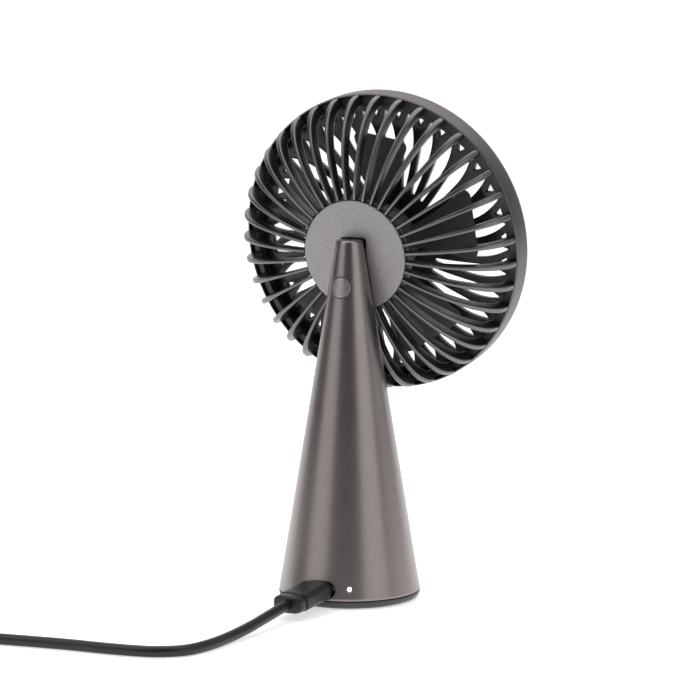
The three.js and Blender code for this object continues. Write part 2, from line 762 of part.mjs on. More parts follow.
// The far plug lies flat, pointing towards -Y.
const farPlug = (width, height, radius, start, end) =>
  placed(barAlongY(width, height, radius, start, end, 4), {
    at: [FAR_PLUG.x, 0, FAR_PLUG.z],
  });
const farBodyBack = FAR_PLUG.back - FAR_PLUG.cap;
const farBodyFront = farBodyBack - FAR_PLUG.body;
add(
  "usb_a_strain_relief",
  farPlug(6.4, 5.2, 2.4, farBodyBack + GAP, FAR_PLUG.back),
  BLACK,
  { rough: 0.6 },
);
add("usb_a_plug_body", farPlug(15.6, 8, 2, farBodyFront, farBodyBack), SLATE, { rough: 0.6 });
add(
  "usb_a_shell",
  farPlug(12, 4.5, 0.4, farBodyFront - FAR_PLUG.shell, farBodyFront - GAP),
  STEEL,
  { metal: 0.95, rough: 0.25 },
);

export default fan;
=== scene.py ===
"""The looks of a small rechargeable desk fan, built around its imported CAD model.

Lengths in this file are millimetres, in the CAD's own frame; MM turns them into
metres where a mesh, light or camera is made. The fan blows towards -Y.
"""

import json
import math

import bmesh
import bpy
import numpy as np
from mathutils import Matrix, Vector


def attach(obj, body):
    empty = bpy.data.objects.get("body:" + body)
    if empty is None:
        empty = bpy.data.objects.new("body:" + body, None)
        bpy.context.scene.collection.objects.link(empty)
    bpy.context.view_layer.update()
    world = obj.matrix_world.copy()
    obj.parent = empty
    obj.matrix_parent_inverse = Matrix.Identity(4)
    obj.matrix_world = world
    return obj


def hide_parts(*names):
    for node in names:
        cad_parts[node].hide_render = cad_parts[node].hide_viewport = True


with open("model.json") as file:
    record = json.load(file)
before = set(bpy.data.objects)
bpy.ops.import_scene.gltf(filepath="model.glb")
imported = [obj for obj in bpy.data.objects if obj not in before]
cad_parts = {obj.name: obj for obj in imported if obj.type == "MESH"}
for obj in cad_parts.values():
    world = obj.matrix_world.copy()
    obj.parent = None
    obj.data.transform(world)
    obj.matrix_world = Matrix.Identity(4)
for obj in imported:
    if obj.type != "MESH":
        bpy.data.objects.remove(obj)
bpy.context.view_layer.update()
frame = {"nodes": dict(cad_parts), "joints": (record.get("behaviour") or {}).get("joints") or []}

MM = 0.001
JOINTS = {joint["name"]: joint for joint in frame["joints"]}
SPIN = JOINTS["impeller_spin"]
TILT = JOINTS["head_tilt"]


# ------------------------------------------------------------ camera and stage
CAMERA = {"azimuth": 207.1, "elevation": 7.75, "distance": 1224.5, "target": (-0.16, 0.0, 88.1)}
LENS = 179.1
SENSOR = 36.0


def place_camera():
    """The camera, turned round its target by azimuth and elevation."""
    azimuth = math.radians(CAMERA["azimuth"])
    elevation = math.radians(CAMERA["elevation"])
    back = Vector(
        (
            math.sin(azimuth) * math.cos(elevation),
            -math.cos(azimuth) * math.cos(elevation),
            math.sin(elevation),
        )
    )
    data = bpy.data.cameras.new("camera")
    data.lens = LENS
    data.sensor_width = SENSOR
    data.clip_start = 0.05
    data.clip_end = 50
    camera = bpy.data.objects.new("camera", data)
    bpy.context.scene.collection.objects.link(camera)
    camera.location = (Vector(CAMERA["target"]) + back * CAMERA["distance"]) * MM
    camera.rotation_mode = "QUATERNION"
    camera.rotation_quaternion = (-back).to_track_quat("-Z", "Y")
    bpy.context.scene.camera = camera
    return back


TO_CAMERA = place_camera()

# -------------------------------------------------------------------- node work


def new_material(name):
    """A material with an empty node tree, an output and a Principled shader."""
    material = bpy.data.materials.new(name)
    material.use_nodes = True
    tree = material.node_tree
    tree.nodes.clear()
    out = tree.nodes.new("ShaderNodeOutputMaterial")
    shader = tree.nodes.new("ShaderNodeBsdfPrincipled")
    tree.links.new(shader.outputs["BSDF"], out.inputs["Surface"])
    return material, tree, shader


def node(tree, kind, **values):
    """A node whose inputs and properties are given by name."""
    made = tree.nodes.new(kind)
    for key, value in values.items():
        if key in made.inputs:
            made.inputs[key].default_value = value
        else:
            setattr(made, key, value)
    return made


def coordinates(tree, scale=(1, 1, 1)):
    """Object coordinates in metres, stretched by scale."""
    texture = tree.nodes.new("ShaderNodeTexCoord")
    mapping = tree.nodes.new("ShaderNodeMapping")
    mapping.inputs["Scale"].default_value = scale
    tree.links.new(texture.outputs["Object"], mapping.inputs["Vector"])
    return mapping.outputs["Vector"]


def noise(tree, vector, scale, detail=2.0, roughness=0.5):
    """The value output of a noise texture."""
    made = node(tree, "ShaderNodeTexNoise", Scale=scale, Detail=detail, Roughness=roughness)
    tree.links.new(vector, made.inputs["Vector"])
    return made.outputs["Fac"]


def ramp(tree, value, stops, interpolation="LINEAR"):
    """A colour ramp; each stop is (position, (r, g, b))."""
    made = tree.nodes.new("ShaderNodeValToRGB")
    made.color_ramp.interpolation = interpolation
    elements = made.color_ramp.elements
    while len(elements) < len(stops):
        elements.new(0.5)
    for element, (position, colour) in zip(elements, stops):
        element.position = position
        element.color = (*colour, 1)
    tree.links.new(value, made.inputs["Fac"])
    return made.outputs["Color"]


def span(tree, value, low, high):
    """A value from 0..1 mapped to low..high."""
    made = tree.nodes.new("ShaderNodeMapRange")
    made.inputs["To Min"].default_value = low
    made.inputs["To Max"].default_value = high
    tree.links.new(value, made.inputs["Value"])
    return made.outputs["Result"]


def bump(tree, shader, height, strength, distance):
    """Surface relief on the shader, from a height value; distance is in metres."""
    made = node(tree, "ShaderNodeBump", Strength=strength, Distance=distance)
    tree.links.new(height, made.inputs["Height"])
    tree.links.new(made.outputs["Normal"], shader.inputs["Normal"])


def mixed(tree, a, b, share=0.5):
    """A blend of two values."""
    made = tree.nodes.new("ShaderNodeMix")
    made.data_type = "FLOAT"
    made.inputs[0].default_value = share
    tree.links.new(a, made.inputs[2])
    tree.links.new(b, made.inputs[3])
    return made.outputs[0]


def shade(colour, factor):
    """A colour made lighter or darker."""
    return tuple(min(1.0, part * factor) for part in colour)


# -------------------------------------------------------------------- materials


def speckled_metal(name, colour, rough, speck=0.25, grain=2600, lines=None, metallic=1.0, relief=0.2):
    """Bead-blasted or turned metal: fine light specks, soft patches and turned lines."""
    material, tree, shader = new_material(name)
    plain = coordinates(tree)
    fine = noise(tree, plain, grain, 3.0, 0.7)
    if lines:
        turned = noise(tree, coordinates(tree, (60, 60, lines)), 1.0, 3.0, 0.6)
        fine = mixed(tree, fine, turned, 0.18)
    tree.links.new(
        ramp(
            tree,
            fine,
            [(0.3, shade(colour, 1 - speck)), (0.5, colour), (0.72, shade(colour, 1 + speck))],
        ),
        shader.inputs["Base Color"],
    )
    patches = noise(tree, plain, 90, 2.0)
    tree.links.new(
        span(tree, mixed(tree, fine, patches, 0.4), rough - 0.05, rough + 0.08),
        shader.inputs["Roughness"],
    )
    shader.inputs["Metallic"].default_value = metallic
    bump(tree, shader, fine, relief, 0.00003)
    return material


def moulded_plastic(name, colour, rough, grain=1800, relief=0.15, sheen=0.0, metallic=0.0):
    """Moulded plastic with a fine grain and slightly uneven gloss."""
    material, tree, shader = new_material(name)
    plain = coordinates(tree)
    fine = noise(tree, plain, grain, 2.0, 0.6)
    broad = noise(tree, plain, 60, 3.0)
    tree.links.new(
        ramp(tree, mixed(tree, fine, broad, 0.5), [(0.35, shade(colour, 0.85)), (0.65, shade(colour, 1.15))]),
        shader.inputs["Base Color"],
    )
    tree.links.new(span(tree, broad, rough - 0.06, rough + 0.08), shader.inputs["Roughness"])
    shader.inputs["Metallic"].default_value = metallic
    shader.inputs["Sheen Weight"].default_value = sheen
    bump(tree, shader, fine, relief, 0.00004)
    return material


def plated_steel(name, colour, rough, scratches=900):
    """Plated or ground steel with fine scratches one way."""
    material, tree, shader = new_material(name)
    drawn = noise(tree, coordinates(tree, (1, 0.06, 1)), scratches * 3, 2.0, 0.7)
    tree.links.new(
        ramp(tree, drawn, [(0.3, shade(colour, 0.8)), (0.7, shade(colour, 1.1))]),
        shader.inputs["Base Color"],
    )
    tree.links.new(span(tree, drawn, rough - 0.06, rough + 0.1), shader.inputs["Roughness"])
    shader.inputs["Metallic"].default_value = 1.0
    bump(tree, shader, drawn, 0.1, 0.00002)
    return material


def woven_strap(name, colour):
    """A woven strap: a fine weave in two directions."""
    material, tree, shader = new_material(name)
    warp = node(tree, "ShaderNodeTexWave", Scale=900.0, Distortion=0.4)
    weft = node(tree, "ShaderNodeTexWave", Scale=900.0, Distortion=0.4, bands_direction="Z")
    place = coordinates(tree)
    tree.links.new(place, warp.inputs["Vector"])
    tree.links.new(place, weft.inputs["Vector"])
    weave = mixed(tree, warp.outputs["Fac"], weft.outputs["Fac"])
    tree.links.new(
        ramp(tree, weave, [(0.2, shade(colour, 0.6)), (0.8, shade(colour, 1.5))]),
        shader.inputs["Base Color"],
    )
    shader.inputs["Roughness"].default_value = 0.85
    shader.inputs["Sheen Weight"].default_value = 0.3
    bump(tree, shader, weave, 0.5, 0.0001)
    return material


def lit_dot(name):
    """The lit face of the status light, slightly uneven."""
    material, tree, shader = new_material(name)
    uneven = noise(tree, coordinates(tree), 900, 1.0)
    tree.links.new(
        ramp(tree, uneven, [(0.3, (0.9, 0.93, 1.0)), (0.7, (1.0, 1.0, 1.0))]),
        shader.inputs["Base Color"],
    )
    tree.links.new(shader.inputs["Base Color"].links[0].from_socket, shader.inputs["Emission Color"])
    shader.inputs["Emission Strength"].default_value = 1.6
    shader.inputs["Roughness"].default_value = 0.3
    return material


GUNMETAL = speckled_metal(
    "gunmetal_turned", (0.31, 0.276, 0.27), 0.29, speck=0.24, lines=5200, relief=0.2
)
BUTTON_METAL = speckled_metal(
    "gunmetal_blasted", (0.37, 0.345, 0.34), 0.4, speck=0.45, grain=3200, relief=0.5
)
DISC_PAINT = speckled_metal(
    "disc_speckled_paint", (0.325, 0.31, 0.311), 0.5, speck=0.4, grain=3600, relief=0.35
)
RIB_PAINT = speckled_metal("grille_metallic_paint", (0.175, 0.165, 0.165), 0.3, speck=0.18, grain=3000)
BAND_PAINT = speckled_metal("band_metallic_paint", (0.135, 0.124, 0.122), 0.38, speck=0.15, grain=3000)
SLATE = moulded_plastic("slate_plastic", (0.045, 0.046, 0.053), 0.34)
# Painted shade: the front grille's near-black stands in for the shade its struts sit in, darker than the
# moulding's own colour.
GRILLE_PAINTED_SHADE = moulded_plastic("front_grille_painted_shade", (0.022, 0.021, 0.023), 0.22)
BLADE_BLACK = moulded_plastic("impeller_plastic", (0.055, 0.053, 0.052), 0.5)
BLACK = moulded_plastic("black_plastic", (0.01, 0.01, 0.011), 0.5)
PLUG_BLACK = moulded_plastic("plug_plastic", (0.013, 0.012, 0.014), 0.38, grain=2600, relief=0.3)
CORD_BLACK = moulded_plastic("cord_jacket", (0.007, 0.0065, 0.007), 0.38, grain=1500, relief=0.2)
RUBBER = moulded_plastic("pad_rubber", (0.012, 0.012, 0.012), 0.8, grain=1200, relief=0.5)
STEEL = plated_steel("plated_steel", (0.56, 0.56, 0.57), 0.3)
DARK_STEEL = plated_steel("dark_steel", (0.16, 0.16, 0.165), 0.45)
BRASS = plated_steel("brass", (0.6, 0.43, 0.19), 0.35)
COPPER = plated_steel("enamelled_copper", (0.55, 0.25, 0.1), 0.35)
BOARD = moulded_plastic("circuit_board", (0.012, 0.085, 0.04), 0.35, grain=700)
FILM = moulded_plastic("battery_film", (0.03, 0.14, 0.33), 0.25, grain=500)
WIRE_RED = moulded_plastic("wire_insulation", (0.3, 0.02, 0.02), 0.4)
TIE = woven_strap("tie_weave", (0.02, 0.02, 0.022))
LIGHT = lit_dot("status_light")

# ------------------------------------------------------------------- mesh making


def mesh_object(name, points, faces, material, sharp=35.0):
    """An object from points in millimetres; edges sharper than the angle stay sharp."""
    mesh = bpy.data.meshes.new(name)
    mesh.from_pydata([tuple(np.array(p, float) * MM) for p in points], [], faces)
    mesh.update()
    return finish_object(name, mesh, material, sharp)


def finish_object(name, mesh, material, sharp=35.0):
    """Welds a mesh, turns its faces out, smooths it and links it as an object."""
    work = bmesh.new()
    work.from_mesh(mesh)
    bmesh.ops.remove_doubles(work, verts=work.verts, dist=1e-7)
    bmesh.ops.recalc_face_normals(work, faces=work.faces)
    work.to_mesh(mesh)
    work.free()
    mesh.shade_smooth()
    mesh.set_sharp_from_angle(angle=math.radians(sharp))
    mesh.materials.clear()
    mesh.materials.append(material)
    made = bpy.data.objects.new(name, mesh)
    bpy.context.scene.collection.objects.link(made)
    return made


def lathe(profile, segments=160):
    """Points and faces of a body of revolution about Z, from (radius, height) points.

    A profile whose ends lie on the axis is closed there; any other closes on itself.
    """
    on_axis = profile[0][0] < 1e-6 and profile[-1][0] < 1e-6
    rings = len(profile)
    angles = [2 * math.pi * i / segments for i in range(segments)]
    points = [(r * math.cos(a), r * math.sin(a), z) for r, z in profile for a in angles]
    faces = []
    for k in range(rings - 1 if on_axis else rings):
        nxt = (k + 1) % rings
        for i in range(segments):
            j = (i + 1) % segments
            faces.append(
                (k * segments + i, k * segments + j, nxt * segments + j, nxt * segments + i)
            )
    return points, faces


def rounded(profile, radius, steps=4, closed=True):
    """A profile with each corner rounded; radius is one value or one for each corner."""
    count = len(profile)
    radii = radius if isinstance(radius, (list, tuple)) else [radius] * count
    made = []
    for i, corner in enumerate(profile):
        if radii[i] <= 0 or (not closed and i in (0, count - 1)):
            made.append(corner)
            continue
        here = Vector(corner)
        before = (Vector(profile[i - 1]) - here)
        after = (Vector(profile[(i + 1) % count]) - here)
        reach = min(radii[i], before.length * 0.45, after.length * 0.45)
        start = here + before.normalized() * reach
        end = here + after.normalized() * reach
        for k in range(steps + 1):
            t = k / steps
            point = (1 - t) ** 2 * start + 2 * t * (1 - t) * here + t * t * end
            made.append(tuple(point))
    return made


def moved(points, matrix):
    """Points in millimetres through a matrix."""
    return [tuple(matrix @ Vector(p)) for p in points]


def loft(sections, closed_ends=True):
    """Faces that join equal rings of points, in order, with caps at the ends."""
    size = len(sections[0])
    points = [p for ring in sections for p in ring]
    faces = []
    for k in range(len(sections) - 1):
        for i in range(size):
            j = (i + 1) % size
            faces.append((k * size + i, k * size + j, (k + 1) * size + j, (k + 1) * size + i))
    if closed_ends:
        faces.append(tuple(range(size)))
        last = (len(sections) - 1) * size
        faces.append(tuple(last + i for i in reversed(range(size))))
    return points, faces


def merged(parts):
    """Several (points, faces) as one."""
    points, faces = [], []
    for some_points, some_faces in parts:
        start = len(points)
        points += list(some_points)
        faces += [tuple(start + i for i in face) for face in some_faces]
    return points, faces


def superellipse(width, height, power, count=40):
    """A rounded-rectangle ring in the XZ plane, around the origin."""
    ring = []
    for i in range(count):
        a = 2 * math.pi * i / count
        c, s = math.cos(a), math.sin(a)
        ring.append(
            (
                width / 2 * math.copysign(abs(c) ** (2 / power), c),
                0.0,
                height / 2 * math.copysign(abs(s) ** (2 / power), s),
            )
        )
    return ring


def cut_away(target, tools, operation="DIFFERENCE"):
    """Boolean cuts, applied to the target's mesh; the tools are removed."""
    for tool in tools:
        modifier = target.modifiers.new("cut", "BOOLEAN")
        modifier.operation = operation
        modifier.solver = "EXACT"
        modifier.object = tool
        bpy.context.view_layer.update()
        evaluated = target.evaluated_get(bpy.context.evaluated_depsgraph_get())
        result = bpy.data.meshes.new_from_object(evaluated)
        target.modifiers.clear()
        target.data = result
        bpy.data.objects.remove(tool)
    return target


def cutter(points, faces):
    """A plain solid used only to cut."""
    return mesh_object("cutter", points, faces, BLACK)


def bevelled(piece, width, segments=2, angle=35.0):
    """Rounds the piece's sharp edges; width is in millimetres."""
    modifier = piece.modifiers.new("edges", "BEVEL")
    modifier.width = width * MM
    modifier.segments = segments
    modifier.limit_method = "ANGLE"
    modifier.angle_limit = math.radians(angle)
    modifier.harden_normals = False
    return piece


def shown(piece, body, slot, *nodes):
    """Rides a piece on its body in place of its CAD nodes; slot is not used."""
    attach(piece, body)
    if nodes:
        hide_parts(*nodes)
    return piece


# ------------------------------------------------------------------- the cord
CORD_D = 3.8
COIL = {"x": 119.0, "y": 99.8, "mid": 21.5, "pitch": 3.9, "turns": 5.25, "low": 2.65, "high": 6.5}

CORD_ROUTE = [
    (0, 47.3, 5.5),
    (0, 52, 5.15),
    (-0.1, 58, 4.6),
    (-0.2, 64, 4.05),
    (-0.3, 73.4, 3.2),
    (0.1, 81.3, 2.5),
    (0.5, 88, 2.1),
    (0.8, 95, 1.95),
    (1.3, 101, 1.95),
    (2.6, 107.2, 1.95),
    (5, 111.6, 1.95),
    (8.6, 114.7, 1.95),
    (12.5, 116.8, 1.95),
    (17, 118.1, 1.95),
    (27.5, 119.5, 1.95),
    (42.5, 120.3, 1.95),
    (55, 121.7, 1.95),
    (68, 123.5, 1.95),
    (80, 124.8, 2),
    (92, 125.2, 2.35),
    (104.7, 125.2, 2.6),
]
TAIL_ROUTE = [
    (144.4, 85.5, 6.1),
    (144.4, 82, 5.6),
    (144.4, 78.5, 5),
    (144.4, 75.3, 4.6),
]


def smooth_step(value):
    """0 below 0, 1 above 1, and an easy curve between."""
    value = min(1.0, max(0.0, value))
    return value * value * (3 - 2 * value)


def coil_points(per_turn=24):
    """The coil's turns: three beside each other on the floor, then three on those."""
    # Each entry is (turn it starts at, turn it ends at, ring before, ring after, rise).
    steps = [
        (0.78, 1.0, 1, 0, 0),
        (1.78, 2.0, 0, -1, 0),
        (2.55, 2.8, -1, -1, 1),
        (3.55, 3.8, -1, 0, 0),
        (4.55, 4.8, 0, 1, 0),
    ]
    count = round(COIL["turns"] * per_turn)
    made = []
    for i in range(1, count):
        turn = COIL["turns"] * i / count
        ring, lift = 1.0, 0.0
        for start, end, before, after, rise in steps:
            share = smooth_step((turn - start) / (end - start))
            ring += (after - before) * share
            lift += rise * share
        radius = COIL["mid"] + ring * COIL["pitch"]
        angle = math.radians(90 - 360 * turn)
        made.append(
            (
                COIL["x"] + radius * math.cos(angle),
                COIL["y"] + radius * math.sin(angle),
                COIL["low"] + (COIL["high"] - COIL["low"]) * lift,
            )
        )
    return made


def through(points, step=2.0):
    """A smooth line through the points, as points about step apart."""
    line = [np.array(p, float) for p in points]
    padded = [2 * line[0] - line[1], *line, 2 * line[-1] - line[-2]]
    made = [line[0]]
    for a, b, c, d in zip(padded, padded[1:], padded[2:], padded[3:]):
        ta, tb, tc = (max(np.linalg.norm(q - p), 1e-6) ** 0.5 for p, q in ((a, b), (b, c), (c, d)))
        slope_b = tb * ((b - a) / ta - (c - a) / (ta + tb) + (c - b) / tb)
        slope_c = tb * ((c - b) / tb - (d - b) / (tb + tc) + (d - c) / tc)
        count = max(2, round(np.linalg.norm(c - b) / step))
        for k in range(1, count + 1):
            t = k / count
            made.append(
                (2 * t**3 - 3 * t**2 + 1) * b
                + (t**3 - 2 * t**2 + t) * slope_b
                + (-2 * t**3 + 3 * t**2) * c
                + (t**3 - t**2) * slope_c
            )
    return made


def make_cord():
    """The lead from plug to plug, one curve at its full length."""
    line = through([*CORD_ROUTE, *coil_points(), *TAIL_ROUTE])
    curve = bpy.data.curves.new("usb_lead", "CURVE")
    curve.dimensions = "3D"
    spline = curve.splines.new("POLY")
    spline.points.add(len(line) - 1)
    for point, place in zip(spline.points, line):
        point.co = (*(place * MM), 1)
    curve.bevel_depth = CORD_D / 2 * MM
    curve.bevel_resolution = 6
    curve.use_fill_caps = True
    curve.materials.append(CORD_BLACK)
    lead = bpy.data.objects.new("usb_lead", curve)
    bpy.context.scene.collection.objects.link(lead)
    shown(lead, "stand", "cord_rubber", "usb_cord", "cord_coil", "cord_tail")
    length = sum(float(np.linalg.norm(b - a)) for a, b in zip(line, line[1:]))
    return lead, length * MM


LEAD, LEAD_LENGTH = make_cord()

# ------------------------------------------------------------- shared geometry
DEG = math.pi / 180
HUB = Vector((0, -3.55, 121.2))
FORWARD = Vector(SPIN["axis"]).normalized()
HEAD_UP = Vector((0, FORWARD.z, -FORWARD.y))
HEAD = Matrix(
    (
        (1, HEAD_UP.x, FORWARD.x, HUB.x),
        (0, HEAD_UP.y, FORWARD.y, HUB.y),
        (0, HEAD_UP.z, FORWARD.z, HUB.z),
        (0, 0, 0, 1),
    )
)

BASE_R = 25.0
CONE_BOTTOM = 3.1
CONE_TOP = 127.1
TIP_R = 4.6
SLOPE = (BASE_R - TIP_R) / (CONE_TOP - CONE_BOTTOM)
LEAN = math.atan(SLOPE)
BUTTON = {"z": 110.9, "radius": 3.6, "gap": 0.3, "depth": 2.4}
PORT_Z = 6.8
LED = {"angle": 117 * DEG, "z": 7.1, "bore": 1.05, "radius": 0.75}


def cone_radius(z):
    """The stand's outside radius at a height."""
    return BASE_R - SLOPE * (z - CONE_BOTTOM)


class ConeSpot:
    """A place on the cone's face, with its own across, along and outward directions."""

    def __init__(self, angle, z):
        self.centre = Vector((math.cos(angle), math.sin(angle), 0)) * cone_radius(z)
        self.centre.z = z
        self.across = Vector((-math.sin(angle), math.cos(angle), 0))
        self.out = Vector(
            (math.cos(angle) * math.cos(LEAN), math.sin(angle) * math.cos(LEAN), math.sin(LEAN))
        )
        self.along = self.out.cross(self.across)

    def on_face(self, u, v, lift=0.0):
        """The point above (u, v) of the tangent plane, lift outside the cone's face."""
        flat = self.centre + self.across * u + self.along * v
        # Down the outward direction, flat + out * t meets the cone where its radius fits.
        t = 0.0
        for _ in range(12):
            here = flat + self.out * t
            t += (cone_radius(here.z) - math.hypot(here.x, here.y)) * math.cos(LEAN)
        return flat + self.out * (t + lift)


def lipped_cutter(spot, outline, lip, depth):
    """A cutter for a hole with a softly rounded lip; outline(grow) gives (u, v) points."""
    rings = [(lip + 0.35, 1.2), (lip + 0.02, 0.02)]
    for step in range(1, 5):
        turn = step / 4 * 90 * DEG
        rings.append((lip * (1 - math.sin(turn)), -lip * (1 - math.cos(turn))))
    rings.append((0.0, -depth))
    sections = [[spot.on_face(u, v, lift) for u, v in outline(grow)] for grow, lift in rings]
    return cutter(*loft(sections))


def circle(radius, count=72):
    """An outline function for a round hole."""
    turns = [2 * math.pi * i / count for i in range(count)]
    return lambda grow: [((radius + grow) * math.cos(a), (radius + grow) * math.sin(a)) for a in turns]


def slot_outline(width, height, corner, steps=10):
    """An outline function for a rectangle with round corners."""

    def outline(grow):
        points = []
        in_u, in_v = width / 2 - corner, height / 2 - corner
        for k, (u, v) in enumerate(((in_u, in_v), (-in_u, in_v), (-in_u, -in_v), (in_u, -in_v))):
            for i in range(steps + 1):
                angle = (k + i / steps) * 90 * DEG
                points.append(
                    (u + (corner + grow) * math.cos(angle), v + (corner + grow) * math.sin(angle))
                )
        return points

    return outline


def true_cone_normals(piece):
    """Gives the cone's outer face its exact normals, so that cuts leave no shading marks."""
    mesh = piece.data
    normals = []
    for polygon in mesh.polygons:
        middle = polygon.center / MM
        off = abs(math.hypot(middle.x, middle.y) - cone_radius(middle.z)) * math.cos(LEAN)
        plain = 4.5 < middle.z < CONE_TOP - 1.3 and off < 0.03
        for index in polygon.loop_indices:
            place = mesh.vertices[mesh.loops[index].vertex_index].co
            if plain:
                flat = Vector((place.x, place.y, 0)).normalized() * math.cos(LEAN)
                normals.append((flat.x, flat.y, math.sin(LEAN)))
            else:
                normals.append(tuple(mesh.corner_normals[index].vector))
    mesh.normals_split_custom_set(normals)


# ------------------------------------------------------------------- the stand
def make_cone():
    """The turned metal cone: a thin shell with its holes and rounded tip."""
    wall = 1.6
    cavity_top = 116.5
    levels = [4.0 + (CONE_TOP - 1.6 - 4.0) * i / 90 for i in range(91)]
    foot = cone_radius(CONE_BOTTOM)
    outside = [(foot - 0.35, CONE_BOTTOM), (foot - 0.1, CONE_BOTTOM + 0.08)]
    outside += [(cone_radius(CONE_BOTTOM + 0.4), CONE_BOTTOM + 0.4)]
    outside += [(cone_radius(z), z) for z in levels]
    tip_round = 1.2
    centre = (cone_radius(CONE_TOP - tip_round) - tip_round * 0.98, CONE_TOP - tip_round)
    for step in range(1, 9):
        turn = LEAN + (90 * DEG - LEAN) * step / 8
        outside.append((centre[0] + tip_round * math.cos(turn), centre[1] + tip_round * math.sin(turn)))
    profile = (
        [(0, CONE_TOP)]
        + [point for point in reversed(outside)]
        + [
            (cone_radius(CONE_BOTTOM) - wall, CONE_BOTTOM),
            (cone_radius(cavity_top) - wall, cavity_top),
            (0, cavity_top),
        ]
    )
    cone = mesh_object("stand_cone_shell", *lathe(profile, 200), GUNMETAL, 40)
    slot_box = cutter(*slab((-2.8, -12, 118.4), (2.8, 2.2, 126)))
    pin_bore = cutter(*along_x(1.3, -4.2, 8.0, TILT_POINT))
    wire_way = [(0, 115), (1.1, 115), (1.1, 120), (0, 120)]
    wire_bore = cutter(*moved_lathe(wire_way, Matrix.Translation((0, -2.6, 0))))
    rear = ConeSpot(90 * DEG, BUTTON["z"])
    port = ConeSpot(90 * DEG, PORT_Z)
    led = ConeSpot(LED["angle"], LED["z"])
    cut_away(
        cone,
        [
            slot_box,
            pin_bore,
            wire_bore,
            lipped_cutter(rear, circle(BUTTON["radius"] + BUTTON["gap"]), 0.22, 5.0),
            lipped_cutter(port, slot_outline(12.6, 5.4, 2.6), 0.3, 4.5),
            lipped_cutter(led, circle(LED["bore"], 40), 0.12, 4.0),
        ],
    )
    refresh(cone, GUNMETAL, 32)
    true_cone_normals(cone)
    return shown(cone, "stand", "stand_metal", "stand_cone")


def refresh(piece, material, sharp):
    """Smooth shading and one material again, after cuts."""
    piece.data.materials.clear()
    piece.data.materials.append(material)
    for polygon in piece.data.polygons:
        polygon.material_index = 0
    piece.data.shade_smooth()
    piece.data.set_sharp_from_angle(angle=math.radians(sharp))


def slab(low, high):
    """A box as points and faces."""
    points = [
        (x, y, z) for z in (low[2], high[2]) for x, y in
        ((low[0], low[1]), (high[0], low[1]), (high[0], high[1]), (low[0], high[1]))
    ]
    faces = [(3, 2, 1, 0), (4, 5, 6, 7), (0, 1, 5, 4), (1, 2, 6, 5), (2, 3, 7, 6), (3, 0, 4, 7)]
    return points, faces


def moved_lathe(profile, matrix, segments=64):
    """A body of revolution placed by a matrix."""
    points, faces = lathe(profile, segments)
    return moved(points, matrix), faces


def along_x(radius, start, end, centre):
    """A cylinder along X."""
    matrix = Matrix.Translation(centre) @ Matrix.Rotation(90 * DEG, 4, "Y")
    return moved_lathe([(0, start), (radius, start), (radius, end), (0, end)], matrix, 40)


TILT_POINT = Vector(TILT["pos_m"]) / MM


def make_button():
    """The power button: a blasted cap that carries the cone's curve, with a stem."""
    spot = ConeSpot(90 * DEG, BUTTON["z"])
    radius, count = BUTTON["radius"], 72
    sections = []
    for share in (0.02, 0.25, 0.5, 0.72, 0.86, 0.93):
        sections.append(
            [spot.on_face(u, v, -0.04) for u, v in circle(radius * share, count)(0)]
        )
    for step in range(0, 5):
        turn = step / 4 * 90 * DEG
        grow = -0.16 * (1 - math.sin(turn))
        sections.append(
            [spot.on_face(u, v, -0.04 - 0.16 * (1 - math.cos(turn))) for u, v in circle(radius, count)(grow)]
        )
    flat = [
        spot.centre + spot.across * u + spot.along * v - spot.out * BUTTON["depth"]
        for u, v in circle(radius - 0.02, count)(0)
    ]
    sections.append(flat)
    for reach, down in ((1.3, BUTTON["depth"]), (1.3, 3.6)):
        sections.append(
            [
                spot.centre + spot.across * u + spot.along * v - spot.out * down
                for u, v in circle(reach, count)(0)
            ]
        )
    cap = mesh_object("power_button_cap", *loft(sections), BUTTON_METAL, 35)
    return shown(cap, "button", "button_metal", "power_button")


def make_foot():
    """The slate foot with its rounded edge, screw seats and rubber pad."""
    edge = [(22.5, 1.2), (22.5, 0.42), (22.62, 0.35), (22.9, 0.35)]
    for step in range(1, 11):
        turn = step / 10 * 84 * DEG
        edge.append((22.9 + 2.1 * math.sin(turn), 2.7 - 2.35 * math.cos(turn)))
    edge += [(25.0, 2.6), (24.97, 2.74), (24.85, 2.8)]
    profile = [(0, 1.2)] + edge + [(0, 2.8)]
    foot = mesh_object("base_foot_shell", *lathe(profile, 160), SLATE, 35)
    tools = []
    for angle in (30, 150, 270):
        spot = Matrix.Translation((20 * math.cos(angle * DEG), 20 * math.sin(angle * DEG), 0))
        stepped = [(0, 0.5), (2.1, 0.5), (2.1, 1.9), (1, 1.9), (1, 3.4), (0, 3.4)]
        tools.append(cutter(*moved_lathe(stepped, spot, 40)))
    cut_away(foot, tools)
    refresh(foot, SLATE, 35)
    shown(foot, "stand", "slate_plastic", "base_foot")

    profile = [(0, 0.25), (3.0, 0.25), (3.2, 0.0)]
    for ring in range(5):
        r = 6.6 + 3.4 * ring
        profile += [(r - 0.5, 0.0), (r - 0.25, 0.2), (r + 0.25, 0.2), (r + 0.5, 0.0)]
    profile += [(21.9, 0.0), (22.15, 0.1), (22.2, 0.3), (22.2, 0.8), (22.1, 0.9), (0, 0.9)]
    pad = mesh_object("foot_pad_grooved", *lathe(profile, 120), RUBBER, 30)
    shown(pad, "stand", "pad_rubber", "foot_pad")


def make_status_light():
    """The clear light pipe, with a domed lit face at the cone's surface."""
    edge = LED["radius"]
    profile = [(0, 18.9), (edge, 18.9), (edge, 24.05), (0.68, 24.17), (0.5, 24.24), (0, 24.25)]
    matrix = (
        Matrix.Translation((0, 0, LED["z"]))
        @ Matrix.Rotation(LED["angle"], 4, "Z")
        @ Matrix.Rotation(90 * DEG, 4, "Y")
    )
    pipe = mesh_object("led_light_pipe_lens", *moved_lathe(profile, matrix, 40), LIGHT, 50)
    shown(pipe, "stand", "led_white", "led_light_pipe")


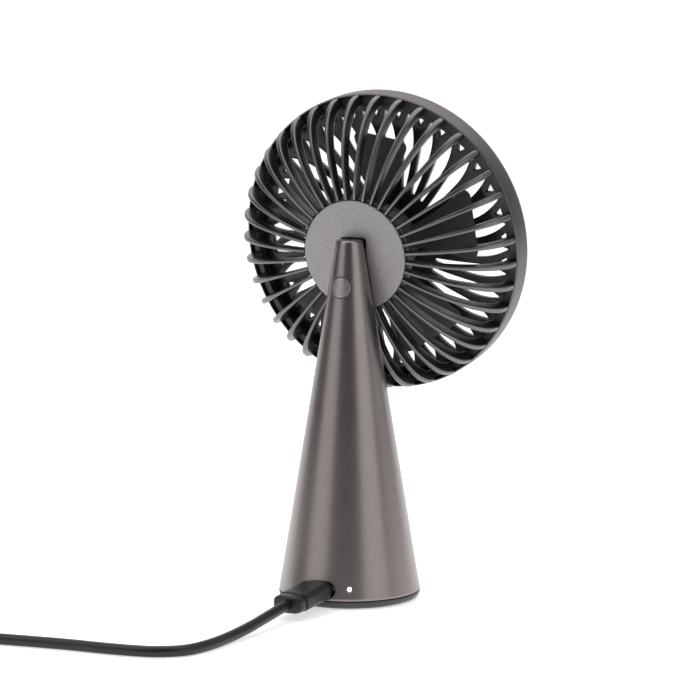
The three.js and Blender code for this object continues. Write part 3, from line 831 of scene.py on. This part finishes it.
# -------------------------------------------------------------------- the head
RIBS = 39
RIB_START = 1.1
DISC_R = 19.64
RIB_IN_R = 19.94
RIB_END_R = 53.3
RIB_RISE = 20.2
RIB_ROUND = 0.95
RIB_DEPTH = 4.2
STRUTS = 32
STRUT_START = 8.45


def in_head(points):
    """Points given as (across, up, forward) in the head, in the part's frame."""
    return moved(points, HEAD)


def head_lathe(name, profile, material, segments=200, sharp=35):
    """A body of revolution about the head's axis; heights are forward of the disc."""
    points, faces = lathe(profile, segments)
    return mesh_object(name, in_head(points), faces, material, sharp)


def cone_room(angle):
    """The cone grown by its clearance, as it stands in the head tilted by an angle."""
    grow = 0.5 / math.cos(LEAN)
    top = CONE_TOP + 0.6
    profile = [
        (0, 60),
        (cone_radius(60) + grow, 60),
        (cone_radius(top - 1) + grow, top - 1),
        (cone_radius(top - 0.3) + grow - 0.1, top - 0.3),
        (cone_radius(top) + grow - 1, top),
        (0, top),
    ]
    points, faces = lathe(profile, 96)
    about = Matrix.Translation(TILT_POINT)
    turn = about @ Matrix.Rotation(angle * DEG, 4, "X") @ about.inverted()
    return cutter(moved(points, turn), faces)


def make_disc():
    """The speckled disc behind the motor, with a trough where the cone's tip enters."""
    profile = rounded(
        [(0, 0), (DISC_R, 0), (DISC_R, 1.6), (0, 1.6)], [0, 0.32, 0.2, 0], 5, closed=False
    )
    disc = head_lathe("hub_disc_face", profile, DISC_PAINT)
    cut_away(disc, [cone_room(angle) for angle in (0, 4, 8, 12, 16, 20)])
    refresh(disc, DISC_PAINT, 28)
    shown(disc, "head", "disc_metal", "hub_disc")


def rib_edge(turn):
    """A rib's rear edge as (radius, forward)."""
    radius = RIB_IN_R + (RIB_END_R - RIB_IN_R) * math.sin(turn) ** 1.13
    return Vector((radius, RIB_RISE * (1 - max(math.cos(turn), 0) ** RIB_ROUND) + 0.05))


def rib_sections(angle):
    """One rib's cross-sections, from the disc's rim to the trim ring."""
    steps, around = 26, 20
    across = Vector((-math.sin(angle), math.cos(angle), 0))
    outward = Vector((math.cos(angle), math.sin(angle), 0))
    stations = []
    for i in range(steps + 1):
        turn = (i / steps) ** 0.9 * 90 * DEG
        here = rib_edge(turn)
        way = (rib_edge(min(turn + 0.01, 90 * DEG)) - rib_edge(max(turn - 0.01, 0))).normalized()
        stations.append((here, way, RIB_DEPTH))
    stations.append((Vector((52.8, RIB_RISE + 0.35)), Vector((0, 1)), 3.6))
    stations.append((Vector((52.5, 22.3)), Vector((0, 1)), 2.6))
    sections = []
    for k, (here, way, depth) in enumerate(stations):
        share = k / (len(stations) - 1)
        thick = 1.15 + 1.1 * smooth_step(share * 1.05)
        inward = Vector((-way.y, way.x))
        ring = []
        for j in range(around):
            a = 2 * math.pi * (j + 0.5) / around
            c, s = math.cos(a), math.sin(a)
            side = thick / 2 * math.copysign(abs(c) ** 0.42, c)
            deep = depth / 2 * (1 - math.copysign(abs(s) ** 0.42, s))
            flat = here + inward * deep
            radius = max(flat.x, RIB_IN_R - 0.02)
            ring.append(outward * radius + across * side + Vector((0, 0, flat.y)))
        sections.append(ring)
    return sections


def make_rear_grille():
    """Curved ribs on a hub plate, running out over the rim."""
    parts = []
    for i in range(RIBS):
        parts.append(loft(rib_sections((RIB_START + i * 360 / RIBS) * DEG)))
    points, faces = merged(parts)
    ribs = mesh_object("rear_grille_ribs", in_head(points), faces, RIB_PAINT, 50)
    shown(ribs, "head", "grille_grey", "rear_grille")

    plate = head_lathe(
        "rear_hub_plate",
        rounded([(8.2, 1.9), (20.8, 1.9), (20.8, 3.9), (8.2, 3.9)], 0.25, 3),
        SLATE,
    )
    cut_away(plate, [cone_room(angle) for angle in (0, 7, 14, 20)])
    refresh(plate, SLATE, 30)
    shown(plate, "head", "grille_grey")
    bosses = []
    for angle in (30, 150, 270):
        place = Matrix.Translation((13.3 * math.cos(angle * DEG), 13.3 * math.sin(angle * DEG), 0))
        profile = rounded([(0, 3.6), (2.2, 3.6), (2.0, 6.9), (0, 6.9)], [0, 0, 0.3, 0], 3, closed=False)
        bosses.append(moved_lathe(profile, place, 32))
    points, faces = merged(bosses)
    shown(mesh_object("rear_motor_bosses", in_head(points), faces, SLATE), "head", "grille_grey")

    rim = head_lathe(
        "rear_rim",
        rounded([(50.2, 22.0), (52.6, 22.0), (52.6, 26.6), (50.2, 26.6)], 0.3, 4),
        SLATE,
    )
    shown(rim, "head", "slate_plastic")


def make_trim_ring():
    """The smooth metallic band round the head, hooked over the front grille."""
    profile = rounded(
        [
            (52.9, 21.2),
            (52.95, 20.65),
            (53.4, 20.65),
            (53.7, 21.2),
            (53.7, 28.4),
            (53.4, 29.7),
            (52.2, 30.2),
            (50.7, 30.2),
            (50.4, 29.9),
            (50.4, 29.3),
            (52.9, 29.3),
        ],
        0.35,
        3,
    )
    shown(head_lathe("trim_ring_band", profile, BAND_PAINT, 240, 40), "head", "trim_metal", "trim_ring")


# ------------------------------------------------------------ the front grille
FRONT = {"rear": 26.9, "front": 29.0, "outer": 52.0, "centre": 17.0, "edge": 0.3}
STRUT_LEAN = 9 * DEG


def lean_at(radius):
    """How far a strut has turned at a radius, seen from the front."""
    return -math.tan(STRUT_LEAN) * math.log(radius / 44.9)


def front_hole(curve, outline):
    """Adds a closed outline of (radius, angle) points to the front's flat curve."""
    spline = curve.splines.new("POLY")
    spline.points.add(len(outline) - 1)
    for point, (radius, angle) in zip(spline.points, outline):
        point.co = (radius * math.cos(angle) * MM, radius * math.sin(angle) * MM, 0, 1)
    spline.use_cyclic_u = True


def strut_half(radius):
    """Half a strut's width at a radius: slim, then flaring into its fork at the rim."""
    return 0.95 + 1.7 * max(0.0, (radius - 34) / 11) ** 2.2


def leaf_outline(angle):
    """A long leaning leaf between two struts, pointed at the rim."""
    start, tip, steps = 18.5, 47.6, 26
    half_pitch = math.pi / STRUTS
    sides = {1: [], -1: []}
    for i in range(steps + 1):
        radius = start + (tip - start) * (i / steps) ** 0.9
        room = max(radius * half_pitch - strut_half(radius), 0.0)
        close = math.sqrt(max(0.0, 1 - ((radius - start) / (tip - start)) ** 7))
        near = min(1.0, math.sqrt(max(radius - start, 0) / 1.2 + 0.02))
        for sign in sides:
            sides[sign].append((radius, angle + lean_at(radius) + sign * room * close * near / radius))
    return sides[1] + list(reversed(sides[-1]))[1:]


def triangle_outline(angle):
    """The small hole in a strut's fork, as a triangle with its point inwards."""
    corners = [(43.3, 0.0), (46.9, 2.0), (46.9, -2.0)]
    flat = [(radius, side) for radius, side in corners]
    eased = rounded(flat, [0.25, 0.7, 0.7], 4)
    return [(radius, angle + lean_at(radius) + side / radius) for radius, side in eased]


def make_front_grille():
    """The flat front: leaning struts, leaf openings and small triangles at the rim."""
    curve = bpy.data.curves.new("front_outline", "CURVE")
    curve.dimensions = "2D"
    curve.fill_mode = "BOTH"
    outer = 128
    front_hole(curve, [(FRONT["outer"] - FRONT["edge"], 2 * math.pi * i / outer) for i in range(outer)])
    pitch = 2 * math.pi / STRUTS
    for i in range(STRUTS):
        strut = STRUT_START * DEG + i * pitch
        front_hole(curve, leaf_outline(strut + pitch / 2))
        front_hole(curve, triangle_outline(strut))
    curve.extrude = ((FRONT["front"] - FRONT["rear"]) / 2 - FRONT["edge"]) * MM
    curve.bevel_depth = FRONT["edge"] * MM
    curve.bevel_resolution = 3
    flat = bpy.data.objects.new("front_outline", curve)
    bpy.context.scene.collection.objects.link(flat)
    bpy.context.view_layer.update()
    mesh = bpy.data.meshes.new_from_object(flat.evaluated_get(bpy.context.evaluated_depsgraph_get()))
    bpy.data.objects.remove(flat)
    lift = Matrix.Translation((0, 0, (FRONT["front"] + FRONT["rear"]) / 2))
    place = Matrix.Scale(MM, 4) @ HEAD @ lift @ Matrix.Scale(1 / MM, 4)
    mesh.transform(place)
    # The grille's near-black colour is painted shade, not the moulding's own colour.
    front = finish_object("front_grille_plate", mesh, GRILLE_PAINTED_SHADE, 35)
    shown(front, "head", "slate_plastic", "front_grille")

    cap = head_lathe(
        "front_cap_dish",
        [(0, 29.3), (15.3, 29.3), (15.5, 29.45), (15.5, 29.8), (15.35, 30.1), (14.9, 30.4), (14.2, 30.6),
         (12.5, 30.75), (9.0, 30.85), (4.0, 30.9), (0, 30.9)],
        BAND_PAINT,
        120,
    )
    shown(cap, "head", "trim_metal", "front_cap")


# ---------------------------------------------------------------- the impeller
BLADES = 5
BLADE_START = 23
BLADE = {"tip": 41.3, "rear": 15.0, "rise": 7.2, "half": 19 * DEG, "thick": 1.2, "round": 5.0}
CUP = {"rear": 9.8, "front": 23.3, "outer": 14.0, "inner": 11.7}


def blade(angle):
    """One blade: a twisted sheet with a straight, round-cornered tip and thinned edges."""
    along, across = 30, 26
    start = CUP["outer"] - 0.8
    layers = []
    for face in (0, 1):
        rows = []
        for i in range(along + 1):
            r = start + (BLADE["tip"] - start) * i / along
            near = max(0.0, (r - BLADE["tip"] + BLADE["round"]) / BLADE["round"])
            half = (BLADE["half"] - 0.1 * (1 - i / along)) * (1 - 0.25 * near**3)
            row = []
            for j in range(across + 1):
                side = 2 * j / across - 1
                turn = side * half
                belly = 0.55 * (1 - side * side) * math.sin(math.pi * i / along)
                w = BLADE["rear"] + BLADE["rise"] * (1 - side * half / BLADE["half"]) / 2 + belly
                edge = max(abs(side) ** 6, (i / along) ** 20)
                thin = BLADE["thick"] / 2 * (1 - 0.6 * edge)
                w += BLADE["thick"] / 2 + (thin if face else -thin)
                reach = r * (1 - (1 - math.cos(BLADE["half"]) / math.cos(turn)) * (i / along) ** 2)
                row.append((reach * math.cos(angle + turn), reach * math.sin(angle + turn), w))
            rows.append(row)
        layers.append(rows)
    points = [p for rows in layers for row in rows for p in row]
    width, size = across + 1, (along + 1) * (across + 1)
    faces = []
    for i in range(along):
        for j in range(across):
            a = i * width + j
            faces.append((a, a + width, a + width + 1, a + 1))
            faces.append((a + size, a + size + 1, a + size + width + 1, a + size + width))
    border = [j for j in range(width)]
    border += [i * width + across for i in range(1, along + 1)]
    border += [along * width + j for j in range(across - 1, -1, -1)]
    border += [i * width for i in range(along - 1, 0, -1)]
    for a, b in zip(border, border[1:] + border[:1]):
        faces.append((a, b, b + size, a + size))
    return points, faces


def make_impeller():
    """The matt impeller: five blades on a cup that carries the magnet."""
    parts = [blade((BLADE_START + 360 / BLADES * i) * DEG) for i in range(BLADES)]
    profile = rounded(
        [
            (1.2, 20.6),
            (CUP["inner"], 20.6),
            (CUP["inner"], CUP["rear"]),
            (CUP["outer"], CUP["rear"]),
            (CUP["outer"], CUP["front"]),
            (1.2, CUP["front"]),
        ],
        [0, 0.4, 0.2, 0.3, 1.2, 0],
        5,
    )
    parts.append(lathe(profile, 120))
    points, faces = merged(parts)
    piece = mesh_object("impeller_moulding", in_head(points), faces, BLADE_BLACK, 40)
    shown(piece, "rotor", "impeller_black", "impeller")


# ------------------------------------------------------------- plugs and strap
PLUG = {"width": 11.8, "height": 6.8, "start": 25.4, "length": 17.2, "cap": 4.4, "turn": 3.2 * DEG}
FAR_PLUG = {"x": 144.4, "z": 4.4, "back": 75.0, "cap": 4.0, "body": 22.0}


def bar_along_y(stations, power, place, count=64):
    """A rounded bar along Y; each station is (y, width, height)."""
    sections = []
    for y, width, height in stations:
        ring = superellipse(width, height, power, count)
        sections.append(moved([(x, y, z) for x, _, z in ring], place))
    return loft(sections)


def eased_bar(start, end, width, height, edge, steps=5):
    """Stations of a bar whose ends are rounded over."""
    stations = []
    for step in range(steps + 1):
        turn = step / steps * 90 * DEG
        shrink = 2 * edge * (1 - math.sin(turn))
        stations.append((start + edge * (1 - math.cos(turn)), width - shrink, height - shrink))
    return stations + [
        (start + end - y, w, h) for y, w, h in reversed(stations)
    ]


def make_near_plug():
    """The lead's plug at the stand: moulded body and end section; the steel shell is not made here."""
    droop = (
        Matrix.Translation((0, 24.4, PORT_Z))
        @ Matrix.Rotation(-PLUG["turn"], 4, "X")
        @ Matrix.Translation((0, -24.4, 0))
    )
    end = PLUG["start"] + PLUG["length"]
    body = mesh_object(
        "usb_c_plug_moulding",
        *bar_along_y(eased_bar(PLUG["start"], end, PLUG["width"], PLUG["height"], 0.7), 3.4, droop),
        PLUG_BLACK,
        50,
    )
    shown(body, "stand", "plug_plastic", "usb_c_plug_body")
    relief = mesh_object(
        "usb_c_cord_end",
        *bar_along_y(
            eased_bar(end + 0.3, end + PLUG["cap"], PLUG["width"] - 0.6, PLUG["height"] - 0.5, 0.9),
            3.2,
            droop,
        ),
        PLUG_BLACK,
        50,
    )
    shown(relief, "stand", "plug_plastic", "usb_c_strain_relief")


def make_far_plug():
    """The lead's other plug, lying by the coil."""
    place = Matrix.Translation((FAR_PLUG["x"], 0, FAR_PLUG["z"]))
    back = FAR_PLUG["back"] - FAR_PLUG["cap"]
    front = back - FAR_PLUG["body"]
    body = mesh_object(
        "usb_a_plug_moulding",
        *bar_along_y(eased_bar(front, back, 15.6, 8.0, 0.8), 5.0, place),
        PLUG_BLACK,
        50,
    )
    shown(body, "stand", "plug_plastic", "usb_a_plug_body")
    stations = []
    for i in range(25):
        share = i / 24
        ripple = 0.35 * (1 + math.cos(share * 6 * math.pi)) / 2
        y = back + 0.3 + (FAR_PLUG["cap"] - 0.3) * share
        stations.append((y, 6.4 - ripple - 0.8 * share, 5.2 - ripple - 0.5 * share))
    relief = mesh_object("usb_a_cord_end", *bar_along_y(stations, 2.6, place), PLUG_BLACK, 50)
    shown(relief, "stand", "plug_plastic", "usb_a_strain_relief")

    shell = mesh_object(
        "usb_a_shell_pressing",
        *bar_along_y(eased_bar(front - 12.5, front - 0.3, 12.0, 4.5, 0.15), 14.0, place),
        STEEL,
        40,
    )
    x, z = FAR_PLUG["x"], FAR_PLUG["z"]
    mouth = slab((x - 5.65, front - 14, z - 0.1), (x + 5.65, front - 2.5, z + 1.95))
    windows = [
        slab((x + s - 1.1, front - 9.2, z - 5), (x + s + 1.1, front - 7.0, z + 5)) for s in (-2.8, 2.8)
    ]
    cut_away(shell, [cutter(*mouth), *[cutter(*w) for w in windows]])
    refresh(shell, STEEL, 35)
    bevelled(shell, 0.08)
    shown(shell, "stand", "connector_steel", "usb_a_shell")
    return body, relief, shell


def make_tie():
    """The woven strap round the coil, made as a closed band; its tucked-over end is not modelled."""
    low, high = 0.75, 8.4
    reach = COIL["pitch"] + CORD_D / 2
    near, far = COIL["mid"] - reach - 0.75, COIL["mid"] + reach + 0.25
    centre = ((near + far) / 2, (low + high) / 2)
    size = ((far - near) + 0.5, (high - low) + 1.0)
    turn = Matrix.Translation((COIL["x"], COIL["y"], 0)) @ Matrix.Rotation(-60 * DEG, 4, "Z")
    count = 72
    sections = []
    for side in (-3.2, -3.05, 3.05, 3.2):
        inset = 0.12 if abs(side) > 3.1 else 0.0
        outer = superellipse(size[0] - inset, size[1] - inset, 5.5, count)
        sections.append([(centre[0] + x, side, centre[1] + z) for x, _, z in outer])
    for side in (3.2, 3.05, -3.05, -3.2):
        inner = superellipse(size[0] - 0.9, size[1] - 0.9, 5.5, count)
        sections.append([(centre[0] + x, side, centre[1] + z) for x, _, z in inner])
    points = [p for ring in sections for p in ring]
    faces = []
    rings = len(sections)
    for k in range(rings):
        nxt = (k + 1) % rings
        for i in range(count):
            j = (i + 1) % count
            faces.append((k * count + i, k * count + j, nxt * count + j, nxt * count + i))
    strap = mesh_object("coil_tie_strap", moved(points, turn), faces, TIE, 40)
    shown(strap, "stand", "tie_strap", "coil_tie")
    return strap


# ------------------------------------------------------- carried-over CAD pieces
CARRIED = {
    STEEL: ["hinge_pin", "motor_shaft", "impeller_nut"],
    DARK_STEEL: [
        "usb_c_socket",
        "usb_c_shell",
        "ballast_ring",
        "rotor_magnet",
        "rear_bearing",
        "front_bearing",
    ],
    BRASS: ["friction_washer_left", "friction_washer_right"],
    COPPER: ["motor_stator"],
    BOARD: ["main_pcb", "motor_pcb", "button_board"],
    BLACK: ["charge_inductor", "battery_holder", "button_switch", "tilt_lug"],
    SLATE: ["motor_base", "status_led"],
    FILM: ["battery_cell"],
    WIRE_RED: ["stand_wire"],
}
for kind in ("foot", "lug", "motor"):
    CARRIED[STEEL] += [f"{kind}_screw_{i}" for i in (1, 2, 3)]


def dress_cad_pieces():
    """Gives each CAD piece that stays its procedural material."""
    for material, names in CARRIED.items():
        for name in names:
            mesh = frame["nodes"][name].data
            mesh.materials.clear()
            mesh.materials.append(material)


make_cone()
make_button()
make_foot()
make_status_light()
make_disc()
make_rear_grille()
make_trim_ring()
make_front_grille()
make_impeller()
make_near_plug()
far_plug = make_far_plug()
strap = make_tie()
dress_cad_pieces()


# ------------------------------------------------------------- floor and lights
def around(azimuth, elevation, distance, centre=(0, 0, 0.08)):
    """A place seen from the object: azimuth is from the camera, positive to its right."""
    base = math.atan2(TO_CAMERA.y, TO_CAMERA.x)
    turn = base + azimuth * DEG
    level = math.cos(elevation * DEG) * distance
    return Vector(centre) + Vector(
        (level * math.cos(turn), level * math.sin(turn), distance * math.sin(elevation * DEG))
    )


def softbox(name, azimuth, elevation, distance, size, radiance, colour=(1, 1, 1)):
    """A rectangular light that faces the object; radiance sets how bright it looks."""
    data = bpy.data.lights.new(name, "AREA")
    data.shape = "RECTANGLE"
    data.size, data.size_y = size
    data.energy = radiance * math.pi * size[0] * size[1]
    data.color = colour
    light = bpy.data.objects.new(name, data)
    bpy.context.scene.collection.objects.link(light)
    light.location = around(azimuth, elevation, distance)
    light.rotation_mode = "QUATERNION"
    aim = Vector((0, 0, 0.08)) - light.location
    light.rotation_quaternion = aim.to_track_quat("-Z", "Y")


def white_sheet():
    """A pale floor that sweeps up behind the object."""
    material, tree, shader = new_material("white_paper")
    place = coordinates(tree)
    tree.links.new(
        ramp(tree, noise(tree, place, 40.0, 3.0), [(0.3, (0.93, 0.93, 0.93)), (0.7, (0.95, 0.95, 0.95))]),
        shader.inputs["Base Color"],
    )
    shader.inputs["Roughness"].default_value = 0.9
    shader.inputs["Specular IOR Level"].default_value = 0.1
    shader.inputs["Emission Color"].default_value = (1, 1, 1, 1)
    shader.inputs["Emission Strength"].default_value = 0.56
    away = Vector((-TO_CAMERA.x, -TO_CAMERA.y, 0)).normalized()
    side = Vector((away.y, -away.x, 0))
    profile = [(-1.2, 0.0), (1.1, 0.0)]
    for step in range(1, 13):
        turn = step / 12 * 90 * DEG
        profile.append((1.1 + 0.5 * math.sin(turn), 0.5 - 0.5 * math.cos(turn)))
    profile.append((1.6, 2.4))
    points, faces = [], []
    for reach, height in profile:
        for across in (-2.2, 2.2):
            place = away * reach + side * across
            points.append((place.x, place.y, height))
    for i in range(len(profile) - 1):
        faces.append((2 * i, 2 * i + 1, 2 * i + 3, 2 * i + 2))
    mesh = bpy.data.meshes.new("white_sheet")
    mesh.from_pydata(points, [], faces)
    mesh.shade_smooth()
    mesh.materials.append(material)
    sheet = bpy.data.objects.new("white_sheet", mesh)
    bpy.context.scene.collection.objects.link(sheet)


def make_world(level):
    """A dim even surround."""
    world = bpy.data.worlds.new("studio")
    world.use_nodes = True
    background = world.node_tree.nodes["Background"]
    background.inputs["Color"].default_value = (1, 1, 1, 1)
    background.inputs["Strength"].default_value = level
    bpy.context.scene.world = world


# name, azimuth and elevation from the object, distance in metres, size, radiance
LIGHTS = [
    ("right_window", 46, 24, 0.9, (0.75, 0.9), 0.9),
    ("left_window", -60, 22, 0.9, (0.7, 0.9), 0.75),
    ("left_key", -62, 50, 0.9, (0.45, 0.45), 1.6),
    ("right_side", 94, 20, 0.9, (0.6, 0.9), 0.4),
    ("overhead", 160, 78, 1.0, (1.3, 1.3), 1.5),
]
WORLD_LEVEL = 0.05

white_sheet()
make_world(WORLD_LEVEL)
for settings in LIGHTS:
    softbox(*settings)
bpy.context.scene.view_settings.view_transform = "Standard"
